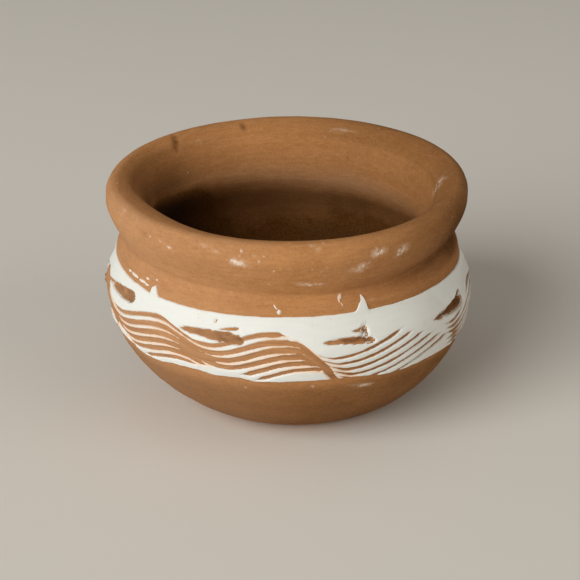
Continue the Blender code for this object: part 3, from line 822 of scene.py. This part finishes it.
def makeClayBody():
    # the section carried round, moved along its normal by thrown rings, lumps, nicks and gouges
    at = sectionRows()
    angle = np.linspace(0, 360, pot["columns"], endpoint=False)[:, None]
    index = np.arange(len(section[0]))
    radius, height, out, up = (np.interp(at, index, v)[None, :] for v in (*section[:2], *sectionNormal))
    outer = (at < outerEnd)[None, :]
    total, down = len(index) / pot["perMillimetre"], at / pot["perMillimetre"]
    down = np.where(down > total / 2, down - total, down)[None, :]  # from the lip, inside negative
    wall = outer & (height > thrown["bandFrom"]) & (height < thrown["bandTo"])
    gouged = np.where(wall, dashGap(angle, height)[1], 0)
    gouged = gouged * (1 + 0.4 * patchy(angle, height, 1.3, 0.9, 34))
    scraped = np.where(wall, ease(-slipGap(angle, height)[0] / thrown["scrapeEdge"]), 0)
    margin = thrown["bandMargin"]
    scraped = scraped * (height < bandTop(angle) - margin) * (height > bandBottom(angle) + margin)
    phase = height * 2 * math.pi / thrown["ringPitch"] + 2.2 * patchy(angle, height, 60, 20, 31)
    rings = thrown["rings"] * np.sin(phase)
    lumps = thrown["lumps"] * patchy(angle, height, 20, 14, 32)
    lumps = lumps + thrown["smallLumps"] * patchy(angle, height, 4, 4, 33)
    scuffAndSheen, dents = worn(angle, radius, down)
    edge = roundThrough(paintedShadeAndFilm["shadeEdge"], angle) + paintedShadeAndFilm["edgeLumps"] * lumps
    # painted shade: darker towards the foot and most on the right, the side away from the key lamp
    lowShade = roundThrough(paintedShadeAndFilm["lowShade"], angle) * lowDown(height, *paintedShadeAndFilm["lowBelow"])
    lowShade = lowShade + lowDown(height, *paintedShadeAndFilm["footShade"])
    narrow = between(rightward(angle), *dirtAndShade["narrowSide"])
    # darker in nicks and on burrs, and painted shade inside, on the right side, low down, in the deeper
    # gouges and in narrow grooves
    stain = np.maximum.reduce(np.broadcast_arrays(
        np.where(outer, lowShade, paintedInsideShade(angle, height, down, edge)),
        paintedShadeSide(angle, height, down, outer),
        np.minimum(dents * 2, dirtAndShade["dents"]),
        dirtAndShade["gouges"] * comesIn(gouged, 0.15, 0.9),
        dirtAndShade["burrs"] * comesIn(-gouged, 0.05, 0.4),
        dirtAndShade["narrowGrooves"] * narrow * scraped * (gouged < 0.1)))
    across = np.where(wall, height - splitLine(angle), 0)  # a line of one value follows the comb
    powder = np.where(outer & (height > powdered["rimFrom"]), 1, powdered["elsewhere"])
    powder = powder * ease(0.5 + patchy(angle, height, 9, 6, 35)) * (down > powdered["insideDown"])
    # painted light inside just above the shade edge; outside a pale dusty bloom, partly a painted highlight
    # on the lit left side
    above = (height - edge - paintedShadeAndFilm["paleAbove"]) / paintedShadeAndFilm["paleWidth"]
    pale = roundThrough(paintedShadeAndFilm["paintedLightEdge"], angle) * np.exp(-(above**2)) * (down < paintedShadeAndFilm["paleDown"])
    bloomAndLight = np.where(outer, roundThrough(paintedShadeAndFilm["bloomAndLight"], angle), pale)
    for place, reach, added in rimThick:
        nearby = np.exp(-(((unwound(angle, place) - place) / reach) ** 2))
        radius = radius - added * nearby * between(down, *rimInside)
    grip = comesIn(height, *thrown["flatFoot"])  # the foot stays flat
    push = (rings + lumps) * grip - gouged - dents - thrown["scraped"] * scraped
    points = handThrown(angle, radius + out * push, height + up * push)
    mesh = meshFrom("clayBody", points.reshape(-1, 3), wrapQuads(points.shape[0], points.shape[1]))
    for name, values in (("scraped", scraped), ("scuffAndSheen", scuffAndSheen), ("stain", stain), ("across", across),
                         ("powder", powder), ("bloomAndLight", bloomAndLight), ("run", np.abs(down) + 0 * angle)):
        setAttribute(mesh, name, values)
    return addPiece("clayBody", mesh, clayMaterial, ["clay_body"])


clayBody = makeClayBody()
print("clay body:", len(clayBody.data.polygons), "faces")


# shells of slip
coat = {"columns": 800, "collarRows": 66, "combedRows": 104, "above": 0.7, "below": 0.6,
        "stands": -0.03, "under": 0.45, "fillRounds": 3, "sharp": 75}
# painted shade on the slip's right side, away from the key lamp, strongest at the ridges' edges
shadedSlipSide = {"side": (30, 30, 125, 20), "above": 6, "over": 4, "least": 0.15, "edge": 0.6, "edgeWidth": 0.4}


def slipShell(name, angle, height, lift, tints, closedRound, nodes):
    # keeps the grid's cells where slip stands, drops their edges under the clay and closes them below
    stands = lift > coat["stands"]
    following = (lambda a: np.roll(a, -1, 0)) if closedRound else (lambda a: a[1:])
    trimmed = (lambda a: a) if closedRound else (lambda a: a[:-1])
    first, second = trimmed(stands), following(stands)
    keep = first[:, :-1] | first[:, 1:] | second[:, :-1] | second[:, 1:]
    for _ in range(coat["fillRounds"]):  # cells that meet at one corner only are filled in between
        a = np.pad(keep, ((0, 1), (0, 1)))
        crossed = a[:-1, :-1] & a[1:, 1:] & ~a[:-1, 1:] & ~a[1:, :-1]
        crossed |= ~a[:-1, :-1] & ~a[1:, 1:] & a[:-1, 1:] & a[1:, :-1]
        fill = np.pad(crossed, ((0, 1), (0, 1)))[:-1, :-1]
        keep |= fill
        keep[1:] |= fill[:-1]
        keep[:, 1:] |= fill[:, :-1]
    columns, rows = angle.shape
    i, j = np.nonzero(keep)
    k = (i + 1) % columns
    quads = np.stack([i * rows + j, k * rows + j, k * rows + j + 1, i * rows + j + 1], 1)
    ends = np.concatenate([quads[:, [0, 1]], quads[:, [1, 2]], quads[:, [2, 3]], quads[:, [3, 0]]])
    total = columns * rows
    there = np.isin(ends[:, 0] * total + ends[:, 1], ends[:, 1] * total + ends[:, 0])
    border = ends[~there]
    walls = np.stack([border[:, 1], border[:, 0], border[:, 0] + total, border[:, 1] + total], 1)
    faces = np.concatenate([quads, quads[:, ::-1] + total, walls])
    radius, out, up = wallAt(height)
    under = coat["under"]
    top = handThrown(angle, radius + out * lift, height + up * lift).reshape(-1, 3)
    bottom = handThrown(angle, radius - out * under, height - up * under).reshape(-1, 3)
    used, faces = np.unique(faces, return_inverse=True)
    mesh = meshFrom(name, np.concatenate([top, bottom])[used], faces.reshape(-1, 4))
    mesh.set_sharp_from_angle(angle=math.radians(coat["sharp"]))
    for tint, values in tints.items():
        setAttribute(mesh, tint, np.tile(np.broadcast_to(values, angle.shape).ravel(), 2)[used])
    return addPiece(name, mesh, slipMaterial, nodes)


def makeSlipBand():
    # two grids round the pot, one above the split and one below it, each lifted where slip stands
    angle = np.linspace(0, 360, coat["columns"], endpoint=False)[:, None]
    split = splitLine(angle)
    others = [n for n in frame["nodes"] if n.startswith("slip_ridge") or n == "slip_hem"]
    for name, low, high, rows, nodes in (
            ("slipCollar", split, bandTop(angle) + coat["above"], coat["collarRows"], ["slip_collar"]),
            ("combedSlip", bandBottom(angle) - coat["below"], split, coat["combedRows"], others)):
        height = low + (high - low) * np.linspace(0, 1, rows)[None, :]
        turned = np.broadcast_to(angle, height.shape)
        gap, thin = slipGap(turned, height)
        lift = slipLift(gap, turned, height)
        # painted shade on the right side of the slip, more at its edges
        nearEdge = ease((shadedSlipSide["edgeWidth"] - gap) / shadedSlipSide["edgeWidth"])
        smearAndPaintedLight = between(rightward(angle), *shadedSlipSide["side"]) * (shadedSlipSide["least"] + shadedSlipSide["edge"] * nearEdge)
        smearAndPaintedLight = smearAndPaintedLight * ease((shadedSlipSide["above"] + split - height) / shadedSlipSide["over"])
        piece = slipShell(name, turned, height, lift, {"thin": thin, "smearAndPaintedLight": smearAndPaintedLight}, True, nodes)
        print(name, "faces:", len(piece.data.polygons))


makeSlipBand()

dropCoat = {"cell": 0.12, "margin": 1, "thickness": 0.38, "edge": 0.2, "ragged": 0.10}
drops = (  # how thin and how smeared; angle, height, half width, half height and tilt of each blob
    {"node": "slip_drop_1", "thin": 0.3, "smearAndPaintedLight": 0,
     "blobs": ((-61.6, 48.0, 0.7, 0.42, -2), (-58.0, 47.85, 1.9, 0.46, -4), (-53.2, 47.6, 1.8, 0.46, 2),
               (-50.6, 47.4, 1.0, 0.38, 0), (-46.0, 50.1, 0.42, 0.35, 0), (-50.4, 49.2, 0.7, 0.28, 0))},
    {"node": "slip_drop_2", "thin": 0.2, "smearAndPaintedLight": 0,
     "blobs": ((-2.6, 47.4, 0.62, 0.75, 0), (-3.8, 48.9, 0.25, 1.1, 38))},
    {"node": "slip_drop_3", "thin": 0.9, "smearAndPaintedLight": 0.35,
     "blobs": ((16.9, 50.4, 0.55, 0.7, -30), (16.3, 49.5, 0.28, 0.9, 0), (16.9, 48.5, 0.25, 0.7, 25))},
    {"node": "slip_drop_4", "thin": 0.2, "smearAndPaintedLight": 0,
     "blobs": ((-118.0, 48.1, 0.75, 1.2, 10), (-116.6, 49.4, 0.35, 0.5, 0))},
)


def makeDrops():
    # a small grid round each drop's blobs, lifted inside their ellipses
    cell, margin = dropCoat["cell"], dropCoat["margin"]
    for drop in drops:
        blobs = drop["blobs"]
        low = np.array([(a - w / perDegree - margin, h - t - margin) for a, h, w, t, _ in blobs]).min(0)
        high = np.array([(a + w / perDegree + margin, h + t + margin) for a, h, w, t, _ in blobs]).max(0)
        columns = int((high[0] - low[0]) * perDegree / cell)
        rows = int((high[1] - low[1]) / cell)
        angle, height = np.meshgrid(np.linspace(low[0], high[0], columns),
                                    np.linspace(low[1], high[1], rows), indexing="ij")
        gap = np.full(angle.shape, -farOff)
        for place, middle, wide, tall, tilt in blobs:
            along, across = tilted((angle - place) * perDegree, height - middle, tilt)
            reach = np.hypot(along / wide, across / tall)
            gap = np.maximum(gap, (1 - reach) * min(wide, tall))
        gap = gap + dropCoat["ragged"] * patchy(angle, height, 0.8, 0.6, 41)
        full = dropCoat["thickness"] * (1 - np.exp(-gap.clip(0) / dropCoat["edge"]))
        lift = np.where(gap > 0, full, buried(gap))
        tints = {"thin": np.maximum(drop["thin"], ease((0.3 - gap) / 0.5)), "smearAndPaintedLight": drop["smearAndPaintedLight"]}
        name = "slipDrop" + drop["node"][-1]
        slipShell(name, angle, beforeSag(angle, height), lift, tints, False, [drop["node"]])
    print("slip drops:", len(drops))


makeDrops()


# floor, light and world
studio = {"floor": (0.78, 0.75, 0.69, 1), "floorSize": 6.0, "floorRoughness": 0.9,
          "mottleScale": 6.0, "mottle": 0.96, "world": (1.0, 0.955, 0.89, 1), "worldStrength": 0.2}
lamps = (  # azimuth from the camera's side, elevation, distance in metres, size in metres, watts, colour
    ("keyLamp", -44, 28, 2.4, 2.0, 53.0, (1.0, 0.985, 0.96)),
    ("fillLamp", 62, 25, 2.4, 2.2, 13.0, (1.0, 0.92, 0.82)),
)


def makeStudio():
    half = studio["floorSize"] / 2
    mesh = bpy.data.meshes.new("floor")
    corners = [(-half, -half, 0), (half, -half, 0), (half, half, 0), (-half, half, 0)]
    mesh.from_pydata(corners, [], [(0, 1, 2, 3)])
    floor = bpy.data.objects.new("floor", mesh)
    bpy.context.scene.collection.objects.link(floor)
    material, n, shader = newMaterial("paleFloor")
    tone = n.ramp(n.noise(studio["mottleScale"]), 0.3, 0.7)
    pale = studio["floor"]
    darker = tuple(studio["mottle"] * c for c in pale[:3]) + (1,)
    n.feed(shader.inputs["Base Color"], n.mix(tone, pale, darker))
    shader.inputs["Roughness"].default_value = studio["floorRoughness"]
    mesh.materials.append(material)
    world = bpy.data.worlds.new("softWorld")
    world.use_nodes = True
    background = world.node_tree.nodes["Background"]
    background.inputs["Color"].default_value = studio["world"]
    background.inputs["Strength"].default_value = studio["worldStrength"]
    bpy.context.scene.world = world
    for name, azimuth, elevation, distance, size, watts, colour in lamps:
        data = bpy.data.lights.new(name, "AREA")
        data.shape, data.size, data.energy, data.color = "DISK", size, watts, colour
        lamp = bpy.data.objects.new(name, data)
        turn = Euler((math.radians(90 - elevation), 0, math.radians(azimuth))).to_matrix().to_4x4()
        middle = Matrix.Translation((0, 0, shot["targetHeight"] * mm))
        lamp.matrix_world = middle @ turn @ Matrix.Translation((0, 0, distance))
        bpy.context.scene.collection.objects.link(lamp)


makeStudio()
bpy.context.scene.view_settings.view_transform = "Standard"
print("studio made")
